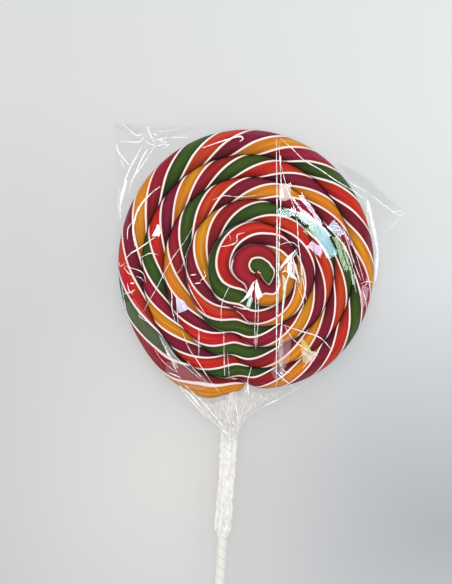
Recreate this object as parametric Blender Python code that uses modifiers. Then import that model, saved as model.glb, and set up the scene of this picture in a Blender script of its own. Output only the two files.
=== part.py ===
"""Swirl lollipop: one rope of hard candy coiled flat on a stick, in a clear film bag, lying on its back.

Metres, +Z up. The stick's axis runs along Y over the origin, with the head at its +Y end, and the bag's
flat underside is at z = 0. Angles along the coil are in degrees, counted clockwise from the stick as
seen from above, and they keep growing from the rope's outer end to its tip in the middle.
"""
import math

import bmesh
import bpy
from mathutils import Vector

# Candy rope
COIL_X = 0.0099                 # the coil's middle, from the stick's axis
COIL_Y = -0.0036
ROPE_HEIGHT = 0.0130
PITCH = 0.01045                 # rope width, and so the step between turns
OUTER_GROOVE = 0.05915          # mean radius of the groove that the outer turn closes on
RIM_SWELL = 0.0011              # the outer turn is this much fatter than the others
RIM_LEAN = 0.0007               # and stands out a little more at the top than at the stick
RIM_SIDE = 185.0
RIM_TURNS = 0.1                 # part of a turn over which both set in
COIL_OFFSET = 0.0048            # the outer turns lean to one side
OFFSET_SIDE = 106.6             # the side that they lean to
COIL_OVAL = 0.00194             # and they are slightly oval
OVAL_SIDE = -19.3
STICK_DENT = 0.0037             # turns are pushed in where the stick enters
DENT_X = 0.01225                # the dent's middle, from the coil's middle towards the stick
DENT_WIDTH = 0.0070
DENT_INNER = 0.0130             # inside this radius the turns aren't dented
DENT_OUTER = 0.0220             # from here outwards they are dented in full
DENT_SPREAD = 0.3               # cosine of the angle from the stick's side inside which the dent is full
TIP_START = 1700.0              # from here the last turn curls in faster
TIP_CURL = 0.000013             # extra radius lost for each degree
ROPE_START = 4.0
ROPE_END = 2190.0
START_TAPER = 28.0              # degrees over which the outer end rounds off
END_TAPER = 110.0               # and the tip in the middle
END_WIDTH = 0.25                # how wide and how tall the ends stay
END_HEIGHT = 0.62
TURN_GAP = 0.0003               # between neighbouring turns, above the web that fuses them
WEB_THICKNESS = 0.0072          # solid sugar that fuses the turns
STEPS_PER_TURN = 40
ROPE_SIDES = 12
SUGAR_COLOUR = (0.30, 0.02, 0.04)
SUGAR_ROUGHNESS = 0.15

# Stick
STICK_DIAMETER = 0.0050
STICK_TOP_Y = -0.0120
STICK_LENGTH = 0.2000
STICK_EDGE = 0.0004
STICK_SIDES = 24
PAPER_COLOUR = (0.85, 0.84, 0.80)
PAPER_ROUGHNESS = 0.6
CLEARANCE = 0.0003              # between pieces that touch

# Film bag
FILM_WALL = 0.0006
FILM_GAP = 0.0006               # from the candy to the film
RIM_PROFILE = ((1.0, -0.0050), (0.8, -0.0016), (0.5, 0.0), (-0.5, 0.0), (-0.8, -0.0016), (-1.0, -0.0050))
NECK_DIAMETER = 0.0080
NECK_TOP_Y = -0.0880
NECK_END_Y = -0.1380
CONE_TOP_Y = -0.0420            # where the bag starts to gather towards the neck
CONE_HALF_WIDTH = 0.0440
CONE_X = 0.0034                 # the head's middle, from the stick's axis
CONE_STATIONS = 6
CONE_SIDES = 20
CONE_FULLNESS = 0.85            # height of the cone's wide end, as a share of the bag's
FLATTENING = 1.3                # how soon the cone's height gives way to the neck's
EAR_THICKNESS = 0.0012
BORE_OVERRUN = 0.001            # how far the neck's bore cuts past its open end
FILM_COLOUR = (0.95, 0.96, 0.97)
FILM_ROUGHNESS = 0.05
FILM_ALPHA = 0.25
LEFT_EAR = ((-0.0690, 0.0650), (-0.0655, 0.0400), (-0.0635, 0.0180), (-0.0622, 0.0040), (-0.0300, 0.0300),
            (0.0000, 0.0560), (-0.0050, 0.0660), (-0.0450, 0.0658))
RIGHT_EAR = ((0.0790, 0.0300), (0.0690, 0.0404), (0.0506, 0.0517), (0.0270, 0.0622), (0.0200, 0.0500),
             (0.0400, 0.0200), (0.0600, -0.0050), (0.0675, 0.0145))

MIDDLE_Z = ROPE_HEIGHT / 2 + FILM_GAP + FILM_WALL
COIL_CENTRE = Vector((COIL_X, COIL_Y, MIDDLE_Z))
BORE_RADIUS = STICK_DIAMETER / 2 + CLEARANCE
SHARP_ANGLE = math.radians(35)  # steeper edges are shaded sharp
BEVEL_ANGLE = math.radians(60)  # and these are rounded
MERGE_DISTANCE = 1e-6


def clear_scene():
    for old in list(bpy.data.objects):
        bpy.data.objects.remove(old, do_unlink=True)


def new_collection(name):
    collection = bpy.data.collections.new(name)
    bpy.context.scene.collection.children.link(collection)
    return collection


def new_material(name, colour, roughness, alpha=1.0):
    material = bpy.data.materials.new(name)
    material.use_nodes = True
    shader = material.node_tree.nodes["Principled BSDF"]
    shader.inputs["Base Color"].default_value = (*colour, 1.0)
    shader.inputs["Roughness"].default_value = roughness
    shader.inputs["Metallic"].default_value = 0.0
    shader.inputs["Alpha"].default_value = alpha
    return material


def add_object(name, mesh, collection, material=None):
    if material:
        mesh.materials.append(material)
    piece = bpy.data.objects.new(name, mesh)
    collection.objects.link(piece)
    return piece


def add_cutter(name, mesh, cutters):
    cutter = add_object(name, mesh, cutters)
    cutter.hide_render = True
    cutter.display_type = "WIRE"
    return cutter


def boolean(piece, operand, operation):
    modifier = piece.modifiers.new(operand.name, "BOOLEAN")
    modifier.object = operand
    modifier.operation = operation


def shade_round(piece):
    piece.data.shade_smooth()
    piece.data.set_sharp_from_angle(angle=SHARP_ANGLE)


def loft(name, rings):
    """Skin a row of rings, each a loop of points, and close both ends."""
    form = bmesh.new()
    loops = [[form.verts.new(point) for point in ring] for ring in rings]
    for near, far in zip(loops, loops[1:]):
        for i in range(len(near)):
            j = (i + 1) % len(near)
            form.faces.new((near[i], near[j], far[j], far[i]))
    form.faces.new(loops[0])
    form.faces.new(loops[-1])
    bmesh.ops.recalc_face_normals(form, faces=form.faces)
    mesh = bpy.data.meshes.new(name)
    form.to_mesh(mesh)
    form.free()
    return mesh


def slab(name, outline, thickness):
    """A flat plate of the given outline, centred on the head's middle plane."""
    curve = bpy.data.curves.new(name, "CURVE")
    curve.dimensions = "2D"
    curve.fill_mode = "BOTH"
    curve.extrude = thickness / 2
    edge = curve.splines.new("POLY")
    edge.points.add(len(outline) - 1)
    for point, (x, y) in zip(edge.points, outline):
        point.co = (x, y, 0, 1)
    edge.use_cyclic_u = True
    guide = bpy.data.objects.new(name, curve)
    guide.location.z = MIDDLE_Z
    bpy.context.scene.collection.objects.link(guide)
    bpy.context.view_layer.update()
    mesh = bpy.data.meshes.new_from_object(guide.evaluated_get(bpy.context.evaluated_depsgraph_get()))
    mesh.transform(guide.matrix_world)
    bpy.data.objects.remove(guide, do_unlink=True)
    form = bmesh.new()
    form.from_mesh(mesh)
    bmesh.ops.remove_doubles(form, verts=form.verts, dist=MERGE_DISTANCE)
    bmesh.ops.recalc_face_normals(form, faces=form.faces)
    form.to_mesh(mesh)
    form.free()
    return mesh


def rod(name, diameter, y_top, y_end, sides):
    """A closed cylinder along the stick's axis."""
    bpy.ops.mesh.primitive_cylinder_add(
        vertices=sides, radius=diameter / 2, depth=y_top - y_end,
        location=(0, (y_top + y_end) / 2, MIDDLE_Z), rotation=(math.pi / 2, 0, 0))
    made = bpy.context.object
    bpy.context.view_layer.update()
    mesh = made.data
    mesh.transform(made.matrix_world)
    bpy.data.objects.remove(made, do_unlink=True)
    mesh.name = name
    return mesh


def ramp(value, low, high):
    """0 below low, 1 above high, and an even slope between them."""
    return min(max((value - low) / (high - low), 0), 1)


def stick_dent(radius, turn):
    """How far the entering stick pushes the groove in, on the stick's side of the coil only."""
    sideways = (radius * math.sin(turn) - DENT_X) / DENT_WIDTH
    depth = STICK_DENT * ramp(radius, DENT_INNER, DENT_OUTER)
    return depth * math.exp(-sideways ** 2) * ramp(math.cos(turn), 0, DENT_SPREAD)


def groove_radius(angle):
    """Distance from the coil's middle to the groove on the rope's inner side."""
    turns = angle / 360
    turn = math.radians(angle)
    even = OUTER_GROOVE - PITCH * turns - TIP_CURL * max(angle - TIP_START, 0)
    if even <= 0:
        return 0.0
    lean = COIL_OFFSET * math.cos(turn - math.radians(OFFSET_SIDE))
    lean += COIL_OVAL * math.cos(2 * (turn - math.radians(OVAL_SIDE)))
    rim = RIM_SWELL + RIM_LEAN * math.cos(turn - math.radians(RIM_SIDE))
    outermost = ramp(-turns, 0, RIM_TURNS)
    return max(even + rim * outermost + lean * even / OUTER_GROOVE - stick_dent(even, turn), 0.0)


def coil_point(angle, radius, height=0.0):
    turn = math.radians(angle)
    return COIL_CENTRE + Vector((-radius * math.sin(turn), -radius * math.cos(turn), height))


def fullness(angle):
    """How full the rope is: 1 along its length, rounding off to 0 at both ends."""
    start = ramp(angle, ROPE_START, ROPE_START + START_TAPER)
    end = 1 - ramp(angle, ROPE_END - END_TAPER, ROPE_END)
    return math.sqrt(1 - (1 - start) ** 2) * math.sqrt(1 - (1 - end) ** 2)


def rope_band(angle):
    """Inner radius and half width of the rope, which fills the room between its two grooves."""
    inner = groove_radius(angle) + TURN_GAP / 2
    outer = groove_radius(angle - 360) - TURN_GAP / 2
    return inner, (outer - inner) / 2 * max(fullness(angle), END_WIDTH)


def rope_mesh():
    """The rope as a loft of oval sections."""
    step = 360 / STEPS_PER_TURN
    rings = []
    for i in range(int((ROPE_END - ROPE_START) / step) + 1):
        angle = ROPE_START + i * step
        inner, half_width = rope_band(angle)
        half_height = ROPE_HEIGHT / 2 * (END_HEIGHT + (1 - END_HEIGHT) * fullness(angle))
        ring = []
        for k in range(ROPE_SIDES):
            around = 2 * math.pi * k / ROPE_SIDES
            radius = inner + half_width * (1 + math.cos(around))
            ring.append(coil_point(angle, radius, half_height * math.sin(around)))
        rings.append(ring)
    return loft("candy", rings)


def outer_turn():
    """The angles at which the outermost turn has its sections."""
    return [ROPE_START + i * 360 / STEPS_PER_TURN for i in range(STEPS_PER_TURN)]


def rim_outline(margin):
    """The coil's outside edge seen from above, moved out by a margin."""
    outline = []
    for angle in outer_turn():
        radius = max(groove_radius(angle), groove_radius(angle - 360)) + margin
        outline.append(coil_point(angle, radius)[:2])
    return outline


def web_outline():
    """The web ends in the middle of the outermost turn, one section inside the rope's end."""
    angles = [angle + 360 / STEPS_PER_TURN for angle in outer_turn()]
    return [coil_point(angle, sum(rope_band(angle)))[:2] for angle in angles]


def make_candy(parts, cutters):
    sugar = new_material("pulled_sugar", SUGAR_COLOUR, SUGAR_ROUGHNESS)
    candy = add_object("candy", rope_mesh(), parts, sugar)
    web = slab("web", web_outline(), WEB_THICKNESS)
    boolean(candy, add_cutter("web", web, cutters), "UNION")
    bore_top = STICK_TOP_Y + CLEARANCE
    bore = rod("stick_bore", 2 * BORE_RADIUS, bore_top, NECK_TOP_Y, STICK_SIDES)
    boolean(candy, add_cutter("stick_bore", bore, cutters), "DIFFERENCE")
    shade_round(candy)


def make_stick(parts):
    mesh = rod("stick", STICK_DIAMETER, STICK_TOP_Y, STICK_TOP_Y - STICK_LENGTH, STICK_SIDES)
    stick = add_object("stick", mesh, parts, new_material("rolled_paper", PAPER_COLOUR, PAPER_ROUGHNESS))
    edge = stick.modifiers.new("edge", "BEVEL")
    edge.width = STICK_EDGE
    edge.segments = 2
    edge.limit_method = "ANGLE"
    edge.angle_limit = BEVEL_ANGLE
    shade_round(stick)


def pouch_mesh(name, inset):
    """The bag round the candy: the coil's outline at each height, drawn in towards both faces."""
    rings = []
    for level, margin in RIM_PROFILE:
        height = level * (MIDDLE_Z - inset)
        outline = rim_outline(FILM_GAP + FILM_WALL - inset + margin)
        rings.append([Vector((x, y, MIDDLE_Z + height)) for x, y in outline])
    return loft(name, rings)


def cone_mesh(name, inset):
    """The part of the bag that gathers from the head's lower side to the neck."""
    top_height = CONE_FULLNESS * MIDDLE_Z - inset
    neck = NECK_DIAMETER / 2 - inset
    wide = CONE_HALF_WIDTH - inset
    rings = []
    for i in range(CONE_STATIONS + 1):
        along = i / CONE_STATIONS
        y = CONE_TOP_Y + (NECK_TOP_Y - FILM_WALL - CONE_TOP_Y) * along
        half_width = wide + (neck - wide) * along
        half_height = top_height + (neck - top_height) * along ** FLATTENING
        middle_x = CONE_X * (1 - along)
        ring = []
        for k in range(CONE_SIDES):
            around = 2 * math.pi * (k + 0.5) / CONE_SIDES
            ring.append(Vector((middle_x + half_width * math.cos(around), y,
                                MIDDLE_Z + half_height * math.sin(around))))
        rings.append(ring)
    return loft(name, rings)


def make_wrapper(parts, cutters):
    film = new_material("clear_film", FILM_COLOUR, FILM_ROUGHNESS, FILM_ALPHA)
    wrapper = add_object("wrapper", pouch_mesh("wrapper", 0), parts, film)
    for name, outline in (("left_ear", LEFT_EAR), ("right_ear", RIGHT_EAR)):
        boolean(wrapper, add_cutter(name, slab(name, outline, EAR_THICKNESS), cutters), "UNION")
    boolean(wrapper, add_cutter("cone", cone_mesh("cone", 0), cutters), "UNION")
    neck = rod("neck", NECK_DIAMETER, NECK_TOP_Y, NECK_END_Y, STICK_SIDES)
    boolean(wrapper, add_cutter("neck", neck, cutters), "UNION")
    boolean(wrapper, add_cutter("candy_room", pouch_mesh("candy_room", FILM_WALL), cutters), "DIFFERENCE")
    boolean(wrapper, add_cutter("cone_room", cone_mesh("cone_room", FILM_WALL), cutters), "DIFFERENCE")
    bore = rod("neck_bore", 2 * BORE_RADIUS, CONE_TOP_Y, NECK_END_Y - BORE_OVERRUN, STICK_SIDES)
    boolean(wrapper, add_cutter("neck_bore", bore, cutters), "DIFFERENCE")
    shade_round(wrapper)


def main():
    clear_scene()
    parts = new_collection("swirl_lollipop")
    cutters = new_collection("cutters")
    make_candy(parts, cutters)
    make_stick(parts)
    make_wrapper(parts, cutters)


main()
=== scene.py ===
import math

import bmesh
import bpy
from mathutils import Matrix, Vector, geometry, noise


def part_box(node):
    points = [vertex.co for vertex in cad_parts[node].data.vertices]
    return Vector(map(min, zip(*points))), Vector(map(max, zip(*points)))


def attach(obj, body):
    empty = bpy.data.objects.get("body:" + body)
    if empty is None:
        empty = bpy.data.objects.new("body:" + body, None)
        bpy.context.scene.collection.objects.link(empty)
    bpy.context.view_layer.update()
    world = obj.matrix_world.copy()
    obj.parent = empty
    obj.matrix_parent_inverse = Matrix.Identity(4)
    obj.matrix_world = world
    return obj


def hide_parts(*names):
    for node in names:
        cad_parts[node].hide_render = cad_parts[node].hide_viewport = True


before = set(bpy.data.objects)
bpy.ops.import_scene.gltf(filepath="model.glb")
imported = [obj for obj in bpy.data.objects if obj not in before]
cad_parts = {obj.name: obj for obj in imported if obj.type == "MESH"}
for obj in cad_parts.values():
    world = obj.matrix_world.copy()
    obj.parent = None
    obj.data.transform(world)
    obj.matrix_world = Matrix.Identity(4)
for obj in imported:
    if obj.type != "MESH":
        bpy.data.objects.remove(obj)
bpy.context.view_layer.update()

# Swirl lollipop: a rope of pulled sugar coiled flat, on a paper stick, in a cellophane bag. Metres.

CANDY_LOW, CANDY_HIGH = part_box("candy")
MIDDLE_Z = (CANDY_LOW.z + CANDY_HIGH.z) / 2
MM = 0.001


# ---------------------------------------------------------------- the coil, as the CAD has it

# Angles are in degrees along the rope from its outer end, 360 for each turn of the coil.
COIL_CENTRE = Vector((0.0099, -0.0036, MIDDLE_Z))
ROPE_HEIGHT = CANDY_HIGH.z - CANDY_LOW.z
PITCH = 0.01045
OUTER_GROOVE = 0.05915
RIM_SWELL = 0.0011
RIM_LEAN = 0.0007
RIM_SIDE = 185.0
RIM_TURNS = 0.1
COIL_OFFSET = 0.0048
OFFSET_SIDE = 106.6
COIL_OVAL = 0.00194
OVAL_SIDE = -19.3
STICK_DENT = 0.0037
DENT_X = 0.01225
DENT_WIDTH = 0.0070
DENT_INNER = 0.0130
DENT_OUTER = 0.0220
DENT_SIDE = 0.3
TIP_START = 1700.0
TIP_CURL = 0.000013
ROPE_START = 4.0
ROPE_FULL = 24.0  # from this angle on the rope has its full thickness
END_HEIGHT = 0.62
TURN_GAP = 0.00003
# The tip is turned in on itself: angle, then how far its inner groove is from the coil's middle.
TIP_GROOVE = ((1740, 0.0076), (1768, 0.0088), (1783, 0.0056), (1805, 0.0029), (1861, 0.0032), (1892, 0))
TIP_END = 2252.0
# Where a turn is pressed out of its way, at the rope's outer end and round the tip: angle, spread, offset.
PRESSES = ((-321, 12, 0.0011), (5, 5, -0.0020), (14, 5, 0.0012), (23, 6, -0.0008), (1402, 30, 0.0011),
           (1484, 27, -0.0038))
FUSED_LEVEL = 0.76  # neighbouring turns have run together up to this share of half the height
TIP_FUSED = (1870, 1900)  # over this stretch the innermost groove fades out
TINY = 1e-6
WELD = 2e-6  # corners nearer to each other than this become one


def ramp(value, low, high):
    """0 below low, 1 above high, and an even slope between them."""
    return min(max((value - low) / (high - low), 0), 1)


def smooth(value, low, high):
    part = ramp(value, low, high)
    return part * part * (3 - 2 * part)


def between(value, table):
    """Values of a table's row at an in-between key."""
    for low, high in zip(table, table[1:]):
        if value <= high[0]:
            part = ramp(value, low[0], high[0])
            return [a + (b - a) * part for a, b in zip(low[1:], high[1:])]
    return list(table[-1][1:])


def stick_dent(radius, turn):
    """How far the entering stick pushes the groove in, on the stick's side of the coil only."""
    sideways = (radius * math.sin(turn) - DENT_X) / DENT_WIDTH
    depth = STICK_DENT * math.exp(-sideways ** 2) * ramp(radius, DENT_INNER, DENT_OUTER)
    return depth * ramp(math.cos(turn), 0, DENT_SIDE)


def groove_radius(angle):
    """Distance from the coil's middle to the groove on the rope's inner side."""
    if angle > TIP_GROOVE[0][0]:
        return between(angle, TIP_GROOVE)[0]
    turns = angle / 360
    turn = math.radians(angle)
    even = OUTER_GROOVE - PITCH * turns - TIP_CURL * max(angle - TIP_START, 0)
    lean = COIL_OFFSET * math.cos(turn - math.radians(OFFSET_SIDE))
    lean += COIL_OVAL * math.cos(2 * (turn - math.radians(OVAL_SIDE)))
    rim = (RIM_SWELL + RIM_LEAN * math.cos(turn - math.radians(RIM_SIDE))) * ramp(-turns, 0, RIM_TURNS)
    press = sum(depth * math.exp(-((angle - middle) / spread) ** 2) for middle, spread, depth in PRESSES)
    return even + rim + press + lean * even / OUTER_GROOVE - stick_dent(even, turn)


def finish_mesh(form, name):
    """Makes a smooth-shaded object of a bmesh."""
    mesh = bpy.data.meshes.new(name)
    form.to_mesh(mesh)
    form.free()
    mesh.shade_smooth()
    piece = bpy.data.objects.new(name, mesh)
    bpy.context.scene.collection.objects.link(piece)
    return piece


def coil_point(angle, radius, height=0.0):
    turn = math.radians(angle)
    return COIL_CENTRE + Vector((-radius * math.sin(turn), -radius * math.cos(turn), height))


# ---------------------------------------------------------------- the rope's stripes

# Cherry, plum, mango, berry and lime: each strand's colour next to the white lines and along its middle.
STRIPE_COLOURS = (("A61A0D", "BA2413"), ("660B20", "78112B"), ("B86709", "CC8114"), ("7B0D1B", "8E1529"),
                  ("293A0F", "384F16"))
STRIPE_ENDS = (0.201, 0.398, 0.587, 0.786, 1.0)
BERRY_MIDDLE = (STRIPE_ENDS[2] + STRIPE_ENDS[3]) / 2
LIME_MIDDLE = (STRIPE_ENDS[3] + STRIPE_ENDS[4]) / 2

# The rope is twisted as it is rolled: the metres that a full twist takes, at points spaced evenly along it.
TWIST_LEADS = (0.142, 0.079, 0.074, 0.072, 0.083, 0.080, 0.082, 0.104, 0.148)
LEAD_SPACING = 0.15625
TWIST_START = -0.601
# Near the two ends the twist is uneven: angle, then the twist along the rope's top.
START_TWIST = ((4, -0.455), (15, -0.44), (20, -0.43), (25, -0.413), (30, -0.37), (35, -0.31), (42, -0.25),
               (50, -0.20))
TIP_TWIST = ((1440, 12.72), (1480, 12.89), (1510, 13.0), (1591, 13.14), (1626, 13.22), (1660, 13.35),
             (1704, 13.50), (1740, 13.56))
TOP_SHARE = 0.18  # how much of the twist shows between a pressed turn's top and its groove
RIM_SHARE = 0.21  # and between the top and the free side of the outermost one
LOOSE_END = (26, 50)  # from the first to the second angle the loose end's smaller share gives way
LOOSE_SHARE = 0.4
TWIST_SLOPE = 30.5  # twist a metre across the tip
TIP_TURNS = 13  # whole twists from the rope's start to its tip
MANGO_LIMIT = 0.45
# On the tip the berry strand lies round the lime one: angle, then the edge's way from the coil's middle.
TIP_STRANDS = (1682, 1714)
LIME_EDGE = ((1846, 0.0010), (1861, 0.0033), (1890, 0.0052), (1910, 0.0064), (1937, 0.0071), (1969, 0.0063),
             (2004, 0.0054), (2045, 0.0055), (2080, 0.0074), (2095, 0.0084), (2128, 0.0094), (2143, 0.0053),
             (2165, 0.0027), (2221, 0.0030))
# Its other edge, towards the mango strand, as a share of the turn's width.
MANGO_EDGE = ((1700, -0.2), (1722, 0.08), (1744, 0.38), (1762, 0.47), (1784, 0.50), (1794, 0.60),
              (1801, 0.85), (1806, 1.2), (1826, 1.2), (1832, 0.97), (1905, 0.98), (1925, 1.2))
STATIONS_PER_TURN = 200
END_STATIONS = 16
SIDES = 44
STRANDS = 5
STRAND_BULGE = 0.0001  # how deep the rope is between two strands
# Painted shade towards the grooves: where each side of the rope starts to darken and where it is darkest,
# as
# shares of its half width, and how dark: most on the inner side, where each turn tucks in under the next.
INNER_SHADE = (0.05, 1.0, 1.0)
OUTER_SHADE = (0.55, 1.0, 0.75)
SHADE_CURVE = 1.5


def twist_rate(along):
    """Twists per metre at a distance along the rope."""
    place = min(along / LEAD_SPACING, len(TWIST_LEADS) - 1.001)
    i = int(place)
    part = place - i
    return (1 - part) / TWIST_LEADS[i] + part / TWIST_LEADS[i + 1]


def rope_stations():
    """Angle and twist of each section along the rope, closer together where the outer end rounds off."""
    angles = [ROPE_START + (ROPE_FULL - ROPE_START) * (1 - math.cos(math.pi / 2 * i / END_STATIONS))
              for i in range(END_STATIONS)]
    count = int((TIP_END - ROPE_FULL) * STATIONS_PER_TURN / 360)
    angles += [ROPE_FULL + (TIP_END - ROPE_FULL) * i / count for i in range(count + 1)]
    stations = []
    twist = TWIST_START
    along = 0.0
    last = None
    for angle in angles:
        place = coil_point(angle, (groove_radius(angle) + groove_radius(angle - 360)) / 2)
        if last is not None:
            length = (place - last).length
            twist += twist_rate(along + length / 2) * length
            along += length
        last = place
        if angle < START_TWIST[-1][0]:
            twist = between(angle, START_TWIST)[0]
        if angle > TIP_TWIST[0][0]:
            twist = between(angle, TIP_TWIST)[0]
        stations.append((angle, twist))
    return stations


def tip_strands(angle, radius):
    """The twist near the tip, from where its lime and mango strands end."""
    inner, outer = groove_radius(angle), groove_radius(angle - 360)
    mango_edge = inner + (outer - inner) * between(angle, MANGO_EDGE)[0]
    lime_edge = between(angle, LIME_EDGE)[0]
    lime_side = ramp(STRIPE_ENDS[3] + TWIST_SLOPE * (lime_edge - radius), BERRY_MIDDLE, LIME_MIDDLE)
    mango_side = STRIPE_ENDS[2] + TWIST_SLOPE * (mango_edge - radius)
    own = min(max(mango_side, MANGO_LIMIT), BERRY_MIDDLE)
    return TIP_TURNS + own + lime_side * (LIME_MIDDLE - BERRY_MIDDLE)


def strand_twist(angle, twist, side):
    """Which strand shows, counted in twists; side goes from the outer groove over the top and round."""
    across = math.cos(2 * math.pi * side)
    tilt = 0.5 * across + 0.5 * math.asin(across) * 2 / math.pi
    filled = ramp(angle - 360, ROPE_START, ROPE_FULL)
    outer_share = RIM_SHARE + (TOP_SHARE - RIM_SHARE) * filled
    share = TOP_SHARE if across < 0 else outer_share
    share *= 1 - LOOSE_SHARE * (1 - ramp(angle, *LOOSE_END))
    if side > 1 - 0.5 / SIDES:
        return twist + 1 - outer_share
    if side > 0.5:
        return twist + 0.5 + tilt * share
    normal = twist - tilt * share
    part = smooth(angle, *TIP_STRANDS)
    if part == 0:
        return normal
    inner, outer = groove_radius(angle), groove_radius(angle - 360)
    radius = inner + (outer - inner) / 2 * (1 + across)
    return normal + (tip_strands(angle, radius) - normal) * part


def rope_section(angle, side, twist):
    """A point on the rope: side is 0 at the outer groove, 0.25 on top and 0.5 at the inner groove."""
    around = 2 * math.pi * side
    inner = groove_radius(angle) + TURN_GAP
    outer = max(groove_radius(angle - 360) - TURN_GAP, inner + TURN_GAP)
    start = ramp(angle, ROPE_START, ROPE_FULL)
    full = math.sqrt(max(1 - (1 - start) ** 2, 0))
    half_width = (outer - inner) / 2 * full
    half_height = ROPE_HEIGHT / 2 * (END_HEIGHT * math.sqrt(full) + (1 - END_HEIGHT) * full)
    level = math.sin(around)
    own_groove = angle if math.cos(around) < 0 else angle - 360
    filled = FUSED_LEVEL * smooth(own_groove, ROPE_START, ROPE_FULL)
    filled += (1 - FUSED_LEVEL) * smooth(own_groove, *TIP_FUSED)
    level += math.copysign(1 - abs(level), level) * filled if abs(level) > TINY else 0
    strand = 2 * math.pi * STRANDS * strand_twist(angle, twist, side)
    bulge = -STRAND_BULGE * (1 + math.cos(strand)) / 2
    radius = inner + half_width * (1 + math.cos(around)) + bulge * math.cos(around) * full
    return coil_point(angle, radius, (half_height + bulge) * level)


def painted_groove_shade(angle, side):
    """How much painted shade darkens the rope: 0 on its top, rising to 1 in the grooves between the turns.
    """
    across = math.cos(2 * math.pi * side)
    own_groove = angle if across < 0 else angle - 360
    pressed = smooth(own_groove, ROPE_START, ROPE_FULL) * (1 - smooth(own_groove, *TIP_FUSED))
    start, end, most = INNER_SHADE if across < 0 else OUTER_SHADE
    return ramp(abs(across), start, end) ** SHADE_CURVE * pressed * most


def make_rope():
    form = bmesh.new()
    # Painted shade towards the grooves, which darkens the colour, is carried on the mesh.
    depth = form.verts.layers.float.new("painted_groove_shade")
    stations = rope_stations()
    bmesh.ops.create_grid(form, x_segments=len(stations) - 1, y_segments=SIDES, size=0.5)
    stripes = form.loops.layers.uv.new("stripes")
    place = {}
    for vert in form.verts:
        i = round((vert.co.x + 0.5) * (len(stations) - 1))
        place[vert] = (i, vert.co.y + 0.5)
    for face in form.faces:
        for loop in face.loops:
            i, side = place[loop.vert]
            angle, twist = stations[i]
            loop[stripes].uv = (strand_twist(angle, twist, side), twist)
    for vert, (i, side) in place.items():
        angle, twist = stations[i]
        vert[depth] = painted_groove_shade(angle, side)
        vert.co = rope_section(angle, side % 1, twist)
    bmesh.ops.remove_doubles(form, verts=form.verts, dist=WELD)
    bmesh.ops.holes_fill(form, edges=form.edges, sides=0)
    bmesh.ops.recalc_face_normals(form, faces=form.faces)
    return finish_mesh(form, "candy_rope")


# ---------------------------------------------------------------- the bag's outline

WRAP_LOW, WRAP_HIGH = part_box("wrapper")
FILM_REACH = 0.0009  # from the rim of the candy to the film drawn round it
FRONT_MARGIN = 0.0006  # the creases and the slack stay inside this
BACK_MARGIN = 0.00005
FILM_FRONT = WRAP_HIGH.z - MIDDLE_Z - FRONT_MARGIN
FILM_BACK = MIDDLE_Z - BACK_MARGIN
NECK_TOP_Y = -0.088
NECK_RADIUS = 0.0039
NECK_END_RADIUS = 0.00265
NECK_CLOSE = 0.004  # length over which it is gathered in at its end
NECK_END_Y = WRAP_LOW.y
WAIST_Y = -0.060  # rows of the bag's sheets are level from here down
LEFT_EAR = ((-0.069, 0.065), (-0.0655, 0.04), (-0.0635, 0.018))
RIGHT_EAR = ((0.079, 0.03), (0.0735, 0.0215))
CONE_LEFT = ((-0.0155, -0.075), (-0.005, -0.0842))
CONE_RIGHT = ((0.0332, -0.0594), (0.0251, -0.0649), (0.015, -0.0711), (0.0075, -0.0768), (0.0046, -0.0835))
RIM_STEP = 3  # degrees from one point of the film round the rim to the next
EAR_TOPS = (((-0.069, 0.065), (-0.045, 0.0658), (-0.018, 0.0666)),
            ((0.0507, 0.0507), (0.0584, 0.0471), (0.0652, 0.0422), (0.0705, 0.0378), (0.0758, 0.0334),
             (0.079, 0.03)))


def rim_radius(angle):
    """Distance from the coil's middle to the candy's rim."""
    angle = angle % 360
    inner, outer = groove_radius(angle), groove_radius(angle - 360)
    start = ramp(angle, ROPE_START, ROPE_FULL)
    return inner + (outer - inner) * math.sqrt(1 - (1 - start) ** 2)


def along_rim(first, last):
    """Points of the film drawn round the candy, as X and Y."""
    steps = int(abs(last - first) / RIM_STEP)
    angles = [first + (last - first) * i / steps for i in range(steps + 1)]
    return [tuple(coil_point(angle, rim_radius(angle) + FILM_REACH).xy) for angle in angles]


def neck_radius(y):
    """The neck is gathered in to the stick at its end."""
    return NECK_END_RADIUS + (NECK_RADIUS - NECK_END_RADIUS) * ramp(y, NECK_END_Y, NECK_END_Y + NECK_CLOSE)


def neck_side(side):
    return [(side * neck_radius(y), y) for y in (NECK_TOP_Y, NECK_END_Y + NECK_CLOSE, NECK_END_Y)]


LEFT_SIDE = [*LEFT_EAR, *along_rim(95, 32), *CONE_LEFT, *neck_side(-1)]
RIGHT_SIDE = [*RIGHT_EAR, *along_rim(252, 322), *CONE_RIGHT, *neck_side(1)]
TOP_SIDE = [*EAR_TOPS[0], *along_rim(174, 212), *EAR_TOPS[1]]


def side_at(side, y):
    """X of one side of the bag at a height."""
    for high, low in zip(side, side[1:]):
        if y >= low[1]:
            return high[0] + (low[0] - high[0]) * ramp(-y, -high[1], -low[1])
    return side[-1][0]


def top_at(share):
    """A point of the top edge, from the left ear's tip to the right one's."""
    x = TOP_SIDE[0][0] + (TOP_SIDE[-1][0] - TOP_SIDE[0][0]) * share
    for left, right in zip(TOP_SIDE, TOP_SIDE[1:]):
        if x <= right[0]:
            return Vector((x, left[1] + (right[1] - left[1]) * ramp(x, left[0], right[0])))
    return Vector(TOP_SIDE[-1])


def side_point(side, share):
    """A point of the left or right side, with level rows from the waist down."""
    top = side[0][1]
    if share < 0.5:
        y = top + (WAIST_Y - top) * share * 2
    else:
        y = WAIST_Y + (NECK_END_Y - WAIST_Y) * (share * 2 - 1)
    return Vector((side_at(side, y), y))


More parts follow.
